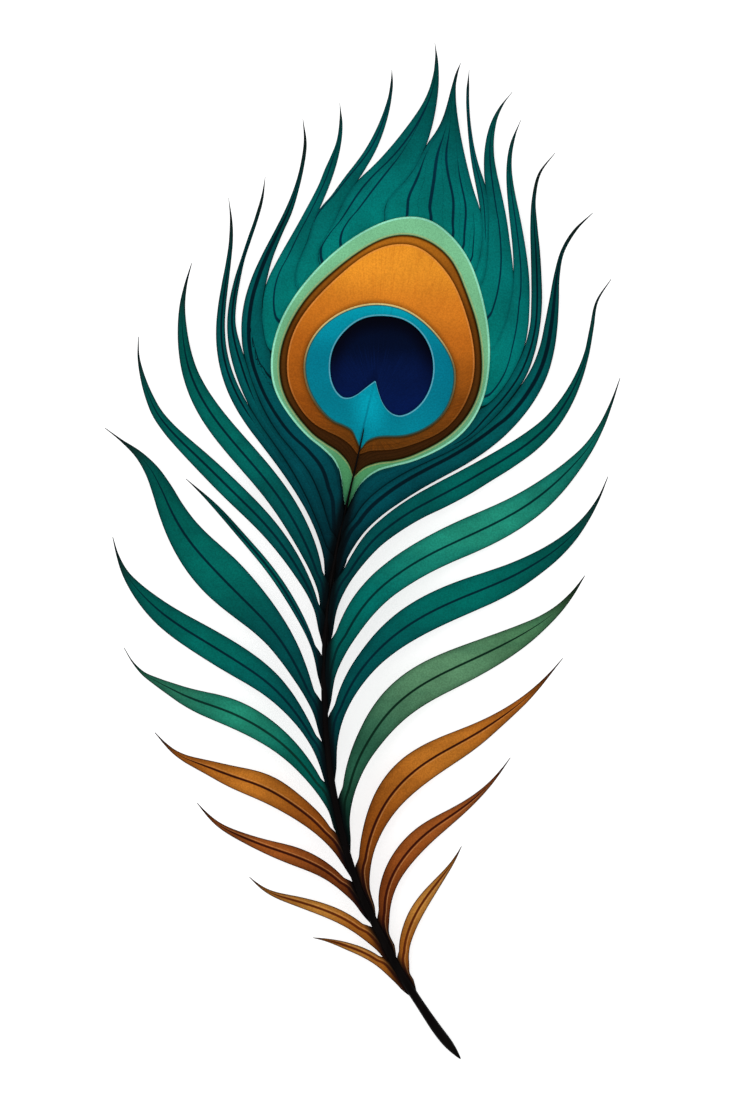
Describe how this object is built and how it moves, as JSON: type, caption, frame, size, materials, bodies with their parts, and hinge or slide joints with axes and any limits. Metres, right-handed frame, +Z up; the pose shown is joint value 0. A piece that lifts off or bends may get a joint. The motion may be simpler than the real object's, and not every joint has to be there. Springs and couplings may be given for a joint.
{
  "type": "peacock feather",
  "caption": "Peacock tail feather lying flat: a bowed dark shaft with loose curved barbs on both sides and a crown of barbs round a blue, orange and green eye.",
  "frame": {"origin": "centre of the feather's bounding box in plan, at the height of the surface it lies on", "axes": "+Z up, away from the surface; +Y along the feather from the quill to the crown; +X to the right for a viewer who looks down with the crown away from them"},
  "size_m": [0.1286, 0.254, 0.0096],
  "materials": {
    "shaft_black": "smooth dark horn, softly glossy",
    "barb_teal": "matt teal web, near black at the root, with a dark midrib and edge",
    "barb_sage": "matt sage green web, darker at the root, with a dark midrib and edge",
    "barb_bronze": "matt bronze brown web with a dark midrib and edge",
    "barb_straw": "matt straw brown web with a dark midrib and edge",
    "eye_green": "matt pale green with a light outer edge",
    "eye_brown": "matt dark brown, paler at the top",
    "eye_orange": "matt golden orange with fine streaks fanning upwards",
    "eye_blue": "matt bright blue with a cyan glow at the notch",
    "eye_navy": "dark navy with faint fanned streaks and a black upper edge"
  },
  "bodies": {
    "root": {"shaft": "shaft_black", "barb_left_01": "barb_straw", "barb_left_02": "barb_straw", "barb_left_03": "barb_bronze", "barb_left_04": "barb_bronze", "barb_left_05": "barb_sage", "barb_left_06": "barb_teal", "barb_left_07": "barb_teal", "barb_left_08": "barb_teal", "barb_left_09": "barb_teal", "barb_left_10": "barb_teal", "barb_right_01": "barb_straw", "barb_right_02": "barb_bronze", "barb_right_03": "barb_bronze", "barb_right_04": "barb_sage", "barb_right_05": "barb_teal", "barb_right_06": "barb_teal", "barb_right_07": "barb_teal", "crown_barb_01": "barb_teal", "crown_barb_02": "barb_teal", "crown_barb_03": "barb_teal", "crown_barb_04": "barb_teal", "crown_barb_05": "barb_teal", "crown_barb_06": "barb_teal", "crown_barb_07": "barb_teal", "crown_barb_08": "barb_teal", "crown_barb_09": "barb_teal", "crown_barb_10": "barb_teal", "crown_barb_11": "barb_teal", "crown_barb_12": "barb_teal", "eye_rim": "eye_green", "eye_band": "eye_brown", "eye_field": "eye_orange", "eye_disc": "eye_blue", "eye_heart": "eye_navy"}
  },
  "joints": []
}
